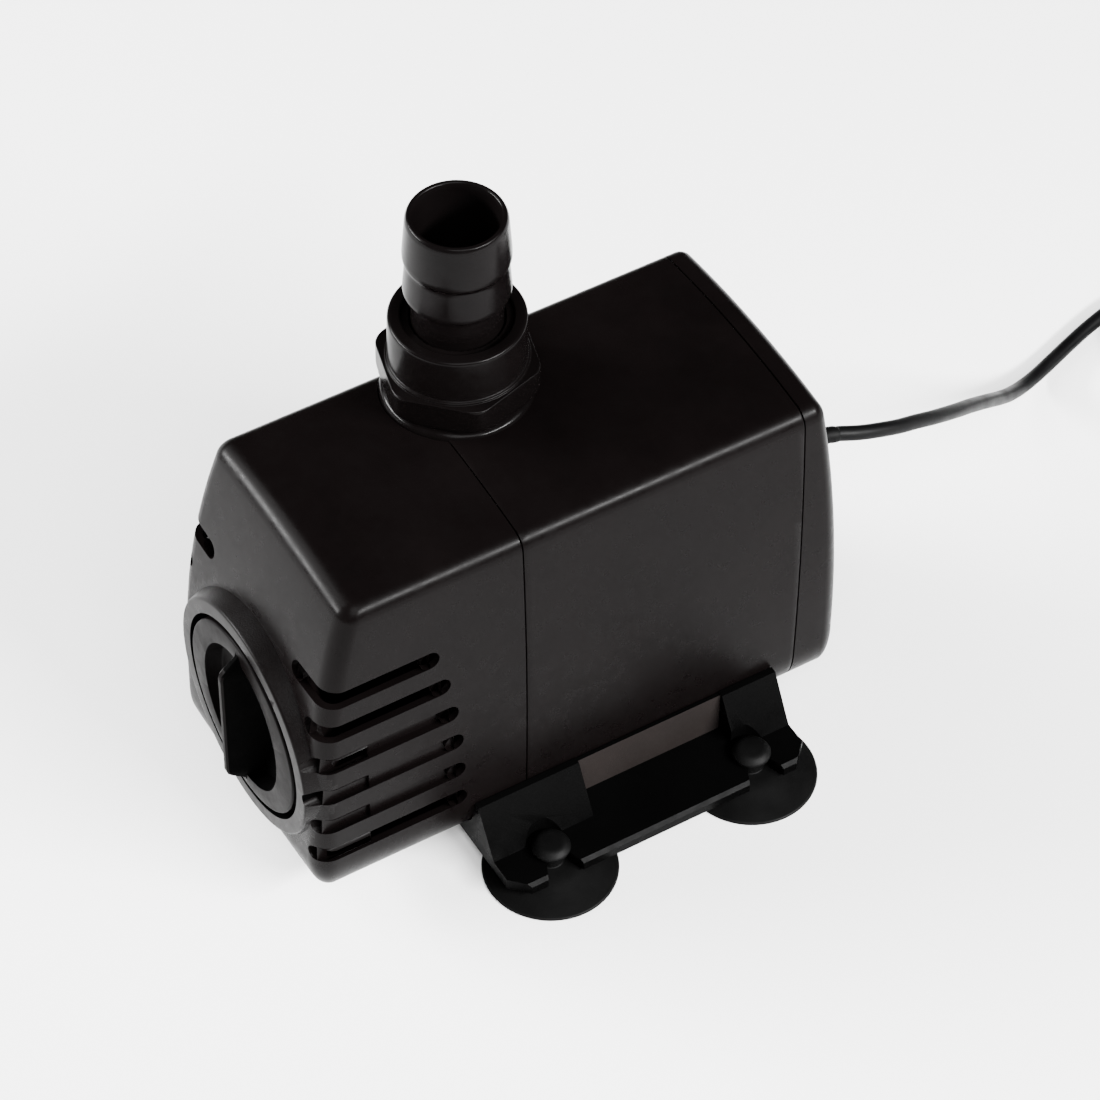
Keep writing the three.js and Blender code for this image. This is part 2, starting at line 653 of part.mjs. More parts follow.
for (const [name, side] of [['left', -1], ['right', 1]]) {
  addNode(`bobbin_${name}`, bobbin(side), ceramic);
  addNode(`winding_${name}`, winding(side), copper);
}
addNode('potting_seal', casingSolid(wall + gap).intersect(between(76, 81)), resin);
rearScrewPlaces().forEach(([x, z], i) => {
  addNode(`rear_screw_${i + 1}`, screw(x, z, 90.4, 84, 1.5, 3.3), steel);
});
addNode('union_nut', unionNut(), plastic);
addNode('hose_tail', hoseTail(), plastic);
addNode('outlet_o_ring', oRing(14, 1.6, outlet.spigotTop + 1.1, 'z'), softBlack);
addNode('base_bracket', baseBracket(), softBlack);
let cupNumber = 0;
for (const x of [-cup.x, cup.x]) {
  for (const y of cup.ys) {
    cupNumber += 1;
    addNode(`suction_cup_${cupNumber}`, suctionCup(x, y), softBlack);
  }
}
addNode('strain_relief', strainRelief(), softBlack);
addNode('cord', cordTube(cordRoute, 32), softBlack);
addNode('cord_end', cordTube(cordEnd, 5), softBlack);
addNode('cord_coil', cordCoil(), softBlack);
addNode('coil_tie_1', coilTie(-1), softBlack);
addNode('coil_tie_2', coilTie(1), softBlack);
addNode('plug_body', plugBody(), softBlack);
addNode('plug_pin_1', plugPin(-9.5), steel);
addNode('plug_pin_2', plugPin(9.5), steel);

export default pump;
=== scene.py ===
"""Fountain submersible pump: the detailed visual model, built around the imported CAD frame.

Shapes are worked out in millimetres, in the frame's own axes (front -Y, right +X, up +Z), and
new_object() scales them to metres. The camera, the lights and the depth of a material's grain are in metres.
"""

import math

import bmesh
import bpy
from mathutils import Matrix, Vector


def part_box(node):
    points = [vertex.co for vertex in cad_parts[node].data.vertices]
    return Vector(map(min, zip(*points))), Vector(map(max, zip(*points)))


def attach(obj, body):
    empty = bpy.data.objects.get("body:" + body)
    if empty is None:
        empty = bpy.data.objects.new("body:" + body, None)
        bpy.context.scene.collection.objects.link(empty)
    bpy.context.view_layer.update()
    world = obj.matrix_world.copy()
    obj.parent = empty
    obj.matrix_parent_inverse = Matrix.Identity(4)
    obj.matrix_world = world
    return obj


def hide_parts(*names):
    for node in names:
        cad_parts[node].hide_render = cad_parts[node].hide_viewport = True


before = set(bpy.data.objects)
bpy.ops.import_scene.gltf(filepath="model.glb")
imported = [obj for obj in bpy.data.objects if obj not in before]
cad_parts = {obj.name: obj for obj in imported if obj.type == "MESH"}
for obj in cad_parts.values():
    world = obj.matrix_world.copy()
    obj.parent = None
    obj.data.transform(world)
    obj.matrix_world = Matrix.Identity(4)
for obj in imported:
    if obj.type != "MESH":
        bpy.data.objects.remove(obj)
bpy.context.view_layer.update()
MM = 0.001


# ------------------------------------------------------------------ camera


def add_camera():
    """Looks down on the pump from its right-hand front corner through a long lens."""
    azimuth, elevation, roll = (math.radians(a) for a in (58.385, 48.57, 0.969))
    target = Vector((-0.0122, 0.0229, 0.0585))
    distance = 1.42
    forward = Vector((
        -math.sin(azimuth) * math.cos(elevation),
        math.cos(azimuth) * math.cos(elevation),
        -math.sin(elevation),
    ))
    right = Vector((math.cos(azimuth), math.sin(azimuth), 0))
    up = right.cross(forward)
    turned_right = right * math.cos(roll) + up * math.sin(roll)
    turned_up = up * math.cos(roll) - right * math.sin(roll)
    data = bpy.data.cameras.new("camera")
    data.sensor_width = 36
    data.lens = 142.7
    data.clip_end = 20
    camera = bpy.data.objects.new("camera", data)
    axes = Matrix((turned_right, turned_up, -forward)).transposed()
    camera.matrix_world = Matrix.Translation(target - forward * distance) @ axes.to_4x4()
    bpy.context.scene.collection.objects.link(camera)
    bpy.context.scene.camera = camera


add_camera()


# ------------------------------------------------------------------ mesh helpers


def new_object(name, verts, faces):
    """A shaded object from points in millimetres."""
    mesh = bpy.data.meshes.new(name)
    mesh.from_pydata([Vector(v) * MM for v in verts], [], faces)
    mesh.validate()
    obj = bpy.data.objects.new(name, mesh)
    bpy.context.scene.collection.objects.link(obj)
    shade(obj)
    return obj


def shade(obj, smooth_angle=35):
    """Smooth faces, with edges sharper than the angle kept crisp, and normals pointing out."""
    bm = bmesh.new()
    bm.from_mesh(obj.data)
    bmesh.ops.recalc_face_normals(bm, faces=bm.faces)
    limit = math.radians(smooth_angle)
    for face in bm.faces:
        face.smooth = True
    for edge in bm.edges:
        edge.smooth = len(edge.link_faces) == 2 and edge.calc_face_angle(0) < limit
    bm.to_mesh(obj.data)
    bm.free()


def apply_modifiers(obj):
    graph = bpy.context.evaluated_depsgraph_get()
    mesh = bpy.data.meshes.new_from_object(obj.evaluated_get(graph))
    obj.modifiers.clear()
    obj.data = mesh


def boolean(obj, other, operation):
    """Cuts, joins or overlaps an object with another, which is used up."""
    modifier = obj.modifiers.new("boolean", "BOOLEAN")
    modifier.operation = operation
    modifier.object = other
    modifier.solver = "EXACT"
    modifier.use_self = True
    apply_modifiers(obj)
    bpy.data.objects.remove(other)


def bevel(obj, width, segments=2, angle=35):
    modifier = obj.modifiers.new("bevel", "BEVEL")
    modifier.width = width * MM
    modifier.segments = segments
    modifier.limit_method = "ANGLE"
    modifier.angle_limit = math.radians(angle)
    modifier.miter_outer = "MITER_ARC"
    modifier.harden_normals = False
    apply_modifiers(obj)


def lathe(name, profile, axis="z", centre=(0, 0, 0), segments=96, closed=False):
    """Turns (radius, place) points about an axis; an open profile starts and ends on the axis."""
    verts, faces = [], []
    rows = []
    for radius, place in profile:
        row = []
        if radius < 1e-6:
            row = [len(verts)] * segments
            verts.append(axis_point(axis, centre, 0, 0, place))
        else:
            for i in range(segments):
                angle = 2 * math.pi * i / segments
                a = radius * math.cos(angle)
                b = radius * math.sin(angle)
                row.append(len(verts))
                verts.append(axis_point(axis, centre, a, b, place))
        rows.append(row)
    pairs = list(zip(rows, rows[1:]))
    if closed:
        pairs.append((rows[-1], rows[0]))
    for low, high in pairs:
        for i in range(segments):
            j = (i + 1) % segments
            face = []
            for v in (low[i], low[j], high[j], high[i]):
                if v not in face:
                    face.append(v)
            if len(face) > 2:
                faces.append(face)
    return new_object(name, verts, faces)


def bar(name, radius, low, high, axis, centre=(0, 0, 0), segments=96):
    """A plain round bar between two places on its axis."""
    return lathe(name, [(0, low), (radius, low), (radius, high), (0, high)], axis, centre, segments)


def axis_point(axis, centre, a, b, place):
    """A point at a place along an axis, a and b away from it."""
    x, y, z = centre
    if axis == "z":
        return (x + a, y + b, z + place)
    if axis == "y":
        return (x + a, y + place, z + b)
    return (x + place, y + a, z + b)


def rounded_profile(points, steps=4):
    """Corner points (a, b, radius), each rounded by an arc-like curve; the ends stay as they are."""
    most_of_side = 0.48
    result = []
    last = len(points) - 1
    for k, (a, b, radius) in enumerate(points):
        here = Vector((a, b))
        if k in (0, last) or radius <= 0:
            result.append((a, b))
            continue
        before = Vector(points[k - 1][:2]) - here
        after = Vector(points[k + 1][:2]) - here
        cut = min(radius, before.length * most_of_side, after.length * most_of_side)
        start = here + before.normalized() * cut
        end = here + after.normalized() * cut
        for step in range(steps + 1):
            t = step / steps
            p = start * (1 - t) ** 2 + here * 2 * t * (1 - t) + end * t * t
            result.append((p.x, p.y))
    return result


def loft(name, rings, capped=True):
    """Joins closed rings of equal length with quads, and closes both ends with one face each."""
    count = len(rings[0])
    verts = [v for ring in rings for v in ring]
    faces = []
    for k in range(len(rings) - 1):
        for i in range(count):
            j = (i + 1) % count
            low, high = k * count, (k + 1) * count
            faces.append((low + i, low + j, high + j, high + i))
    if capped:
        faces.append(tuple(range(count))[::-1])
        faces.append(tuple(range((len(rings) - 1) * count, len(rings) * count)))
    return new_object(name, verts, faces)


def box_mesh(name, low, high):
    x0, y0, z0 = low
    x1, y1, z1 = high
    ring = [(x0, y0), (x1, y0), (x1, y1), (x0, y1)]
    return loft(name, [[(x, y, z0) for x, y in ring], [(x, y, z1) for x, y in ring]])


def join(objects, name):
    """One object from several meshes, which are used up."""
    bm = bmesh.new()
    for obj in objects:
        bm.from_mesh(obj.data)
    mesh = bpy.data.meshes.new(name)
    bm.to_mesh(mesh)
    bm.free()
    for obj in objects:
        bpy.data.objects.remove(obj)
    joined = bpy.data.objects.new(name, mesh)
    bpy.context.scene.collection.objects.link(joined)
    return joined


def node_box(node):
    """A CAD node's corners, in millimetres."""
    low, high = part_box(node)
    return low / MM, high / MM


def smooth(t):
    """Eases from 0 to 1."""
    t = max(0.0, min(1.0, t))
    return t * t * (3 - 2 * t)


def prism(name, outline, low, high, axis="y"):
    """Extrudes (x, z) corner points along Y, or (x, y) along Z."""
    if axis == "y":
        rings = [[(x, place, z) for x, z in outline] for place in (low, high)]
    else:
        rings = [[(x, y, place) for x, y in outline] for place in (low, high)]
    return loft(name, rings)


def paint(obj, material, chosen):
    """Gives the faces whose middle and normal, in mm, are chosen a second material."""
    obj.data.materials.append(material)
    index = len(obj.data.materials) - 1
    for face in obj.data.polygons:
        if chosen(face.center / MM, face.normal):
            face.material_index = index


def finish_piece(obj, material, body, slot, *replaced):
    obj.data.materials.clear()
    obj.data.materials.append(material)
    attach(obj, body)
    if replaced:
        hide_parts(*replaced)
    return obj


def ellipse_ring(centre, across, up, half_across, half_up, count=32, power=2.0):
    """A ring of points on a rounded outline in the plane of two directions; power 2 is an ellipse."""
    ring = []
    for i in range(count):
        angle = 2 * math.pi * i / count
        c, s = math.cos(angle), math.sin(angle)
        a = math.copysign(abs(c) ** (2 / power), c) * half_across
        b = math.copysign(abs(s) ** (2 / power), s) * half_up
        ring.append(tuple(Vector(centre) + Vector(across) * a + Vector(up) * b))
    return ring


# ------------------------------------------------------------------ materials


def node(tree, kind, **values):
    made = tree.nodes.new(kind)
    for key, value in values.items():
        if key in made.inputs:
            made.inputs[key].default_value = value
        else:
            setattr(made, key, value)
    return made


def base_material(name, colour, roughness, metallic=0.0, specular=0.5):
    """A material whose constant values sit on its own shader; returns it with its tree and shader."""
    material = bpy.data.materials.new(name)
    material.use_nodes = True
    tree = material.node_tree
    shader = tree.nodes["Principled BSDF"]
    shader.inputs["Base Color"].default_value = (*colour, 1)
    shader.inputs["Roughness"].default_value = roughness
    shader.inputs["Metallic"].default_value = metallic
    shader.inputs["Specular IOR Level"].default_value = specular
    return material, tree, shader


def noise(tree, scale, detail=3.0):
    coords = node(tree, "ShaderNodeTexCoord")
    texture = node(tree, "ShaderNodeTexNoise", Scale=scale, Detail=detail, Roughness=0.55)
    tree.links.new(coords.outputs["Object"], texture.inputs["Vector"])
    return texture


def ramp(tree, source, low, high, start=0.3, end=0.7):
    """Maps a texture to values from low to high."""
    mapped = node(tree, "ShaderNodeMapRange")
    mapped.inputs["From Min"].default_value = start
    mapped.inputs["From Max"].default_value = end
    mapped.inputs["To Min"].default_value = low
    mapped.inputs["To Max"].default_value = high
    tree.links.new(source, mapped.inputs["Value"])
    return mapped.outputs["Result"]


def add_bump(tree, shader, height, strength, distance, under=None):
    bump = node(tree, "ShaderNodeBump", Strength=strength, Distance=distance)
    tree.links.new(height, bump.inputs["Height"])
    if under is not None:
        tree.links.new(under, bump.inputs["Normal"])
    tree.links.new(bump.outputs["Normal"], shader.inputs["Normal"])
    return bump.outputs["Normal"]


def vary_colour(tree, shader, colour, amount, scale):
    """Slow drift of the colour, as on a moulding."""
    texture = noise(tree, scale, 4.0)
    colours = node(tree, "ShaderNodeValToRGB")
    colours.color_ramp.elements[0].position = 0.3
    colours.color_ramp.elements[1].position = 0.7
    colours.color_ramp.elements[0].color = (*[c * (1 - amount) for c in colour], 1)
    colours.color_ramp.elements[1].color = (*[min(1, c * (1 + amount)) for c in colour], 1)
    tree.links.new(texture.outputs["Fac"], colours.inputs["Fac"])
    tree.links.new(colours.outputs["Color"], shader.inputs["Base Color"])


def moulded_plastic(name, colour, roughness, grain, depth, specular=0.5, sparkle=2600):
    """Spark-eroded moulding: a fine grain over a faint waviness, with small changes of gloss."""
    material, tree, shader = base_material(name, colour, roughness, specular=specular)
    vary_colour(tree, shader, colour, 0.18, 35)
    wave = noise(tree, 28, 2.0)
    under = add_bump(tree, shader, wave.outputs["Fac"], 0.12, 0.0006)
    fine = noise(tree, sparkle, 4.0)
    add_bump(tree, shader, fine.outputs["Fac"], grain, depth, under)
    gloss = noise(tree, 240, 5.0)
    tree.links.new(
        ramp(tree, gloss.outputs["Fac"], roughness - 0.05, roughness + 0.07), shader.inputs["Roughness"]
    )
    return material


def rubber(name, colour, roughness, dust=0.25):
    """Soft black rubber, with a little dust in its colour and gloss."""
    material, tree, shader = base_material(name, colour, roughness, specular=0.06)
    vary_colour(tree, shader, colour, dust, 120)
    fine = noise(tree, 1500, 3.0)
    add_bump(tree, shader, fine.outputs["Fac"], 0.25, 0.00012)
    gloss = noise(tree, 90, 4.0)
    tree.links.new(
        ramp(tree, gloss.outputs["Fac"], roughness - 0.06, roughness + 0.1), shader.inputs["Roughness"]
    )
    return material


def metal(name, colour, roughness, stretch=(1, 1, 1), scale=400):
    """Bright or brushed metal, with its scratches stretched along the axes given."""
    material, tree, shader = base_material(name, colour, roughness, metallic=1.0)
    coords = node(tree, "ShaderNodeTexCoord")
    mapping = node(tree, "ShaderNodeMapping")
    mapping.inputs["Scale"].default_value = stretch
    texture = node(tree, "ShaderNodeTexNoise", Scale=scale, Detail=4.0, Roughness=0.6)
    tree.links.new(coords.outputs["Object"], mapping.inputs["Vector"])
    tree.links.new(mapping.outputs["Vector"], texture.inputs["Vector"])
    gloss = ramp(tree, texture.outputs["Fac"], roughness - 0.06, roughness + 0.1)
    tree.links.new(gloss, shader.inputs["Roughness"])
    add_bump(tree, shader, texture.outputs["Fac"], 0.15, 0.0001)
    return material


casing_plastic = moulded_plastic(
    "casing_plastic", (0.0015, 0.0011, 0.0011),
    roughness=0.3, grain=0.12, depth=0.0001, specular=0.026)
boss_plastic = moulded_plastic(
    "boss_plastic", (0.0015, 0.0011, 0.0011),
    roughness=0.33, grain=0.5, depth=0.0003, specular=0.034, sparkle=2200)
dial_plastic = moulded_plastic(
    "dial_plastic", (0.0014, 0.0011, 0.0011),
    roughness=0.34, grain=0.12, depth=0.0001, specular=0.01)
# Near-black, dull plastic used as painted shade: on the right half of the dial's bowl and grip flank, and on
# the cover's tube behind the dial.
painted_shade_plastic = moulded_plastic(
    "painted_shade_plastic", (0.0004, 0.0004, 0.0004),
    roughness=0.6, grain=0.3, depth=0.0001, specular=0.004)
fitting_plastic = moulded_plastic(
    "fitting_plastic", (0.0014, 0.0011, 0.0011),
    roughness=0.2, grain=0.15, depth=0.00008, specular=0.036)
bracket_plastic = moulded_plastic(
    "bracket_plastic", (0.0007, 0.0007, 0.0007),
    roughness=0.3, grain=0.4, depth=0.00012, specular=0.014)
# Lighter, browner copy of the bracket plastic: painted light, standing in for the reflection on the
# bracket's upright walls beside the casing.
bracket_wall_painted_light = moulded_plastic(
    "bracket_wall_painted_light", (0.0075, 0.006, 0.0056),
    roughness=0.6, grain=0.4, depth=0.00012, specular=0.06)
# Slightly lighter copy of the bracket plastic for the plate's top edge: a painted highlight line.
edge_painted_highlight = moulded_plastic(
    "edge_painted_highlight", (0.001, 0.001, 0.001),
    roughness=0.32, grain=0.2, depth=0.0001, specular=0.012)
# Darker, duller plastic for the inner pieces: their own dark colour, darkened further as painted shade seen
# through the slots.
inner_plastic_with_painted_shade = moulded_plastic(
    "inner_plastic_with_painted_shade", (0.0008, 0.0008, 0.0008),
    roughness=0.5, grain=0.3, depth=0.00012, specular=0.01)
cup_rubber = rubber("cup_rubber", (0.0008, 0.0008, 0.0008), 0.55)
cord_rubber = rubber("cord_rubber", (0.001, 0.001, 0.0011), 0.45, 0.1)


# ------------------------------------------------------------------ cord


CORD_D = 5.2
cord_route = [
    (4.7, 122.5, 75.8), (6.7, 130, 74.1), (7.3, 138, 71.7), (6.8, 146, 68.6), (5.2, 154, 65),
    (3.3, 162, 60.8), (0.8, 169.5, 56.3), (-2.6, 177.5, 50.8), (-7, 186, 44.2), (-12, 195, 36.5),
    (-17.5, 204, 28), (-23, 213, 19.5), (-28.3, 222, 12), (-33, 231, 6.8), (-37, 240, 4.1),
    (-41, 250, 3), (-45, 261, 2.8), (-49, 274, 2.9), (-51, 284, 3.3), (-51.3, 294.5, 3.7),
]
cord_end = [(9, 355, 8.9), (15, 355, 8.5), (21, 355, 7), (27, 355, 6.5)]


def coil_points():
    """Turns beside each other: inwards on the floor layer, one step up, then outwards on top of it."""
    low, high = node_box("cord_coil")
    centre = (low + high) / 2
    clearance = 0.05
    outer = (high.x - low.x) / 2 - CORD_D / 2 - 2 * clearance
    floor_layer = low.z + CORD_D / 2 + clearance
    columns = 4
    steps_in = columns - 1
    turns = 2 * columns - 1 + 0.25
    per_turn = 24
    points = []
    for k in range(1, int(turns * per_turn)):
        turn = k / per_turn
        whole = int(turn)
        phase = (turn - whole) * 3
        if whole < steps_in:
            moved = whole + smooth(phase - 2)
            level = 0
        elif whole == steps_in:
            moved = steps_in
            level = smooth(phase - 1)
        else:
            moved = 2 * steps_in + 1 - whole - smooth(phase)
            level = 1
        radius = outer - moved * CORD_D
        angle = math.pi - 2 * math.pi * turn
        points.append((
            centre.x + radius * math.cos(angle),
            centre.y + radius * math.sin(angle),
            floor_layer + level * CORD_D,
        ))
    return points


def add_cord():
    """The supply cord as one tube, from the strain relief through its coil to the plug."""
    points = cord_route + coil_points() + cord_end
    data = bpy.data.curves.new("supply_cord", "CURVE")
    data.dimensions = "3D"
    data.bevel_depth = CORD_D / 2 * MM
    data.bevel_resolution = 5
    data.use_fill_caps = True
    data.resolution_u = 6
    spline = data.splines.new("BEZIER")
    spline.bezier_points.add(len(points) - 1)
    for bezier, point in zip(spline.bezier_points, points):
        bezier.co = Vector(point) * MM
        bezier.handle_left_type = "AUTO"
        bezier.handle_right_type = "AUTO"
    cord = bpy.data.objects.new("supply_cord", data)
    bpy.context.scene.collection.objects.link(cord)
    data.materials.append(cord_rubber)
    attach(cord, "pump_body")
    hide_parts("cord", "cord_coil", "cord_end")
    return cord


supply_cord = add_cord()


def add_strain_relief():
    """A ribbed, tapered boot from the rear cap to the cord; stations are (share of its length, radius)."""
    start = Vector((0, 101.6, 77.9))
    inside_tip = Vector((0, 0.3, -0.1))
    end = Vector(cord_route[0]) - inside_tip
    forward = (end - start).normalized()
    side = Vector((1, 0, 0))
    up = side.cross(forward)
    length = (end - start).length
    stations = [(0, 5.6), (0.08, 5.6), (0.12, 3.7)]
    ribs = 5
    for k in range(ribs):
        at = 0.16 + 0.14 * k
        full = 3.6 - 0.13 * k
        between = full - 0.25
        stations += [(at, full), (at + 0.08, full - 0.03), (at + 0.09, between), (at + 0.125, between)]
    stations += [(0.9, 2.95), (0.97, 2.9), (1.0, 2.7)]
    rings = [ellipse_ring(start + forward * length * t, side, up, r, r) for t, r in stations]
    boot = loft("strain_relief_boot", rings)
    return finish_piece(boot, cup_rubber, "pump_body", "cord_jacket", "strain_relief")


def add_plug():
    """A two-pin plug, waisted for the fingers; stations are (share of its length, width, height)."""
    low, high = node_box("plug_body")
    middle = (low + high) / 2
    stations = [
        (0.0, 0.28, 0.5), (0.02, 0.34, 0.6), (0.12, 0.38, 0.64), (0.25, 0.5, 0.74), (0.4, 0.68, 0.84),
        (0.52, 0.75, 0.88), (0.64, 0.74, 0.88), (0.76, 0.84, 0.94), (0.86, 0.96, 0.99), (0.94, 1.0, 1.0),
        (0.985, 1.0, 1.0), (1.0, 0.95, 0.94),
    ]
    half_y = (high.y - low.y) / 2
    half_z = (high.z - low.z) / 2
    rings = []
    for t, wide, tall in stations:
        x = low.x + (high.x - low.x) * t
        centre = (x, middle.y, middle.z)
        rings.append(ellipse_ring(
            centre, (0, 1, 0), (0, 0, 1), half_y * wide, half_z * tall, count=40, power=3.2))
    body = loft("plug_grip", rings)
    finish_piece(body, cup_rubber, "pump_body", "cord_jacket", "plug_body")
    brass = metal("pin_metal", (0.75, 0.73, 0.7), 0.22, (1, 8, 8), 300)
    pins = []
    for number in (1, 2):
        low, high = node_box(f"plug_pin_{number}")
        middle = (low + high) / 2
        radius = (high.y - low.y) / 2
        length = high.x - low.x
        profile = rounded_profile([
            (0, -0.4, 0), (radius, -0.4, 0), (radius, length, 1.6), (0, length, 0)], 6)
        pin = lathe(f"plug_pin_turned_{number}", profile, "x", (low.x, middle.y, middle.z), 32)
        finish_piece(pin, brass, "pump_body", "pin_metal", f"plug_pin_{number}")
        pins.append(pin)
    return [body, *pins]


def add_ties():
    """Two flat straps round the turns, with rounded corners."""
    ties = []
    for number in (1, 2):
        low, high = node_box(f"coil_tie_{number}")
        middle = (low + high) / 2
        half_x = (high.x - low.x) / 2
        half_z = (high.z - low.z) / 2
        strap = 0.7
        rings = []
        for shrink, edge in ((0, 0.0), (0, 1.0), (strap, 1.0), (strap, 0.0)):
            y = low.y + (high.y - low.y) * edge
            centre = (middle.x, y, middle.z)
            rings.append(ellipse_ring(
                centre, (1, 0, 0), (0, 0, 1), half_x - shrink, half_z - shrink, count=48, power=9))
        rings.append(rings[0])
        tie = loft(f"cord_tie_{number}", rings, capped=False)
        bm = bmesh.new()
        bm.from_mesh(tie.data)
        bmesh.ops.remove_doubles(bm, verts=bm.verts, dist=1e-7)
        bm.to_mesh(tie.data)
        bm.free()
        finish_piece(tie, cup_rubber, "pump_body", "cord_jacket", f"coil_tie_{number}")
        ties.append(tie)
    return ties


relief = add_strain_relief()
plug_pieces = add_plug()
ties = add_ties()


# ------------------------------------------------------------------ casing

SEAM_FRONT = -19.0
SEAM_REAR = 83.0
SEAM_GAP = 0.5
TOP = 137.5
BOTTOM = 12.5
MIDDLE = -2.15
HALF_TOP = 42.15
HALF_BOTTOM = 45.8
FRONT_END = -95.0
REAR_END = 99.1
AXIS_HEIGHT = 60.0
OUTLET = (-24.5, -4.2, 0)
CASING_WALL = 2.4
SIDE_BULGE = 1.6
TOP_CROWN = 3.0
FRONT_LEAN_FROM = -36
FRONT_LEAN = 15.5
FRONT_BOW = 0.6
REAR_LEAN_FROM = 60
REAR_LEAN = 8.0
REAR_DOME = 7.0


def casing_point(x, y, z):
    """Bends a plain rounded box into the casing: bulged sides, crowned top, leaning ends, domed rear."""
    t = max(0.0, (z - BOTTOM) / (TOP - BOTTOM))
    across = x / HALF_BOTTOM
    half = HALF_BOTTOM + (HALF_TOP - HALF_BOTTOM) * t + SIDE_BULGE * 4 * t * (1 - t)
    bow = 1 - across * across
    near = max(0.0, min(1.0, (FRONT_LEAN_FROM - y) / (FRONT_LEAN_FROM - FRONT_END)))
    rear = max(0.0, min(1.0, (y - REAR_LEAN_FROM) / (REAR_END - REAR_LEAN_FROM)))
    lean_front = FRONT_LEAN * t ** 3 - FRONT_BOW * bow
    lean_rear = REAR_LEAN * t ** 2.4 - REAR_DOME * bow * (1 - t ** 2)
    return (
        MIDDLE + across * half,
        y + near * lean_front - rear * lean_rear,
        z + TOP_CROWN * bow * t ** 6,
    )


def arc_steps(count):
    """Places across a 45 degree stretch of a rounded corner, as tangents."""
    return [math.tan(math.radians(45) * k / count) for k in range(1, count + 1)]


def axis_places(flat_cells, corner_cells):
    """(share along the flat, corner place) pairs along one axis of a rounded box."""
    corner = arc_steps(corner_cells)
    places = [(0.0, -c) for c in reversed(corner)]
    places += [(k / flat_cells, 0.0) for k in range(flat_cells + 1)]
    places += [(1.0, c) for c in corner]
    return places


def casing_surface(name):
    """The whole outer face of the casing as one closed grid with rounded edges and corners."""
    flat_cells = (24, 56, 32)
    corner_cells = 6
    xs, ys, zs = (axis_places(cells, corner_cells) for cells in flat_cells)
    index = {}
    verts, faces = [], []
    top_radius = 5.0
    fillet_across, fillet_up = 6.0, 14.5
    front_radius, rear_radius = 7.0, 5.0

    def vertex(i, j, k):
        if (i, j, k) in index:
            return index[i, j, k]
        (fx, cx), (fy, cy), (fz, cz) = xs[i], ys[j], zs[k]
        direction = Vector((cx, cy, cz)).normalized()
        end_share = abs(cy) / (abs(cy) + abs(cz) + 1e-9)
        side_radius = fillet_across + (top_radius - fillet_across) * fz
        radius_y = front_radius + (rear_radius - front_radius) * fy
        radius_x = side_radius + (radius_y - side_radius) * end_share
        radius_z = top_radius if cz > 0 else fillet_up
        x = (2 * fx - 1) * (HALF_BOTTOM - radius_x) + radius_x * direction.x
        y = FRONT_END + front_radius + fy * (REAR_END - FRONT_END - front_radius - rear_radius)
        y += radius_y * direction.y
        z = BOTTOM + fillet_up + fz * (TOP - BOTTOM - top_radius - fillet_up) + radius_z * direction.z
        index[i, j, k] = len(verts)
        verts.append(casing_point(x, y, z))
        return index[i, j, k]

    counts = (len(xs) - 1, len(ys) - 1, len(zs) - 1)
    for across in (2, 1, 0):
        first, second = (axis for axis in range(3) if axis != across)
        for a in range(counts[first]):
            for b in range(counts[second]):
                for end in (0, counts[across]):
                    face = []
                    for step_a, step_b in ((0, 0), (1, 0), (1, 1), (0, 1)):
                        place = [end, end, end]
                        place[first] = a + step_a
                        place[second] = b + step_b
                        face.append(vertex(*place))
                    faces.append(face)
    return new_object(name, verts, faces)


def cut_shell(name, low, high):
    """The part of the casing between two places on Y, given its wall; None leaves that end closed."""
    shell = casing_surface(name)
    bm = bmesh.new()
    bm.from_mesh(shell.data)
    for place, normal in ((low, -1), (high, 1)):
        if place is None:
            continue
        geometry = bm.verts[:] + bm.edges[:] + bm.faces[:]
        bmesh.ops.bisect_plane(
            bm, geom=geometry, plane_co=(0, place * MM, 0), plane_no=(0, normal, 0), clear_outer=True)
    bm.to_mesh(shell.data)
    bm.free()
    modifier = shell.modifiers.new("wall", "SOLIDIFY")
    modifier.thickness = CASING_WALL * MM
    modifier.offset = -1
    modifier.use_even_offset = True
    apply_modifiers(shell)
    return shell


SLOT_HEIGHT = 6.8
SLOT_PLACES = [33 + 14.15 * k for k in range(6)]
SLOT_SIDE_ENDS = [-41, -41.5, -42, -43.5, -46, -49.5]
SLOT_RIGHT_ENDS = [37.5, 38.8, 38.8, 37.5, 32.5, 21.5]
SLOT_LEFT_ENDS = [43.5, 44, 44, 43.5, 41, 29]


def slot_cutter():
    """Level slots round both front corners, with round ends on the side and on the front.

    A slot is one box and two round bars. Where the box starts inside the side wall, which it does for the
    lower four slots on the left and for the second and third on the right, it cuts a recess and leaves a
    skin behind it.
    """
    radius = SLOT_HEIGHT / 2
    outside, inside = 60, 20
    ahead, behind_face = -120, -76
    pieces = []
    for height, side_end, left_end, right_end in zip(
            SLOT_PLACES, SLOT_SIDE_ENDS, SLOT_LEFT_ENDS, SLOT_RIGHT_ENDS):
        for sign, front_end in ((-1, left_end), (1, right_end)):
            xs = sorted((sign * (front_end + radius), sign * outside))
            pieces.append(box_mesh(
                "cut", (xs[0], ahead, height - radius), (xs[1], side_end - radius, height + radius)))
            pieces.append(bar("cut", radius, inside, outside, "x", (0, side_end - radius, height), 24))
            if sign < 0:
                pieces[-1].data.transform(Matrix.Diagonal((-1, 1, 1, 1)))
                pieces[-1].data.flip_normals()
            pieces.append(bar(
                "cut", radius, ahead, behind_face, "y", (sign * (front_end + radius), 0, height), 24))
    return join(pieces, "slot_cutter")


BOSS_RADIUS = 40.5
BOSS_BACK = -82.2
DIAL_GAP_RADIUS = 35.2
DIAL_FACE = -97.0
DIAL_SEAT_FACE = -84.6
OUTLET_GAP_RADIUS = 25.1


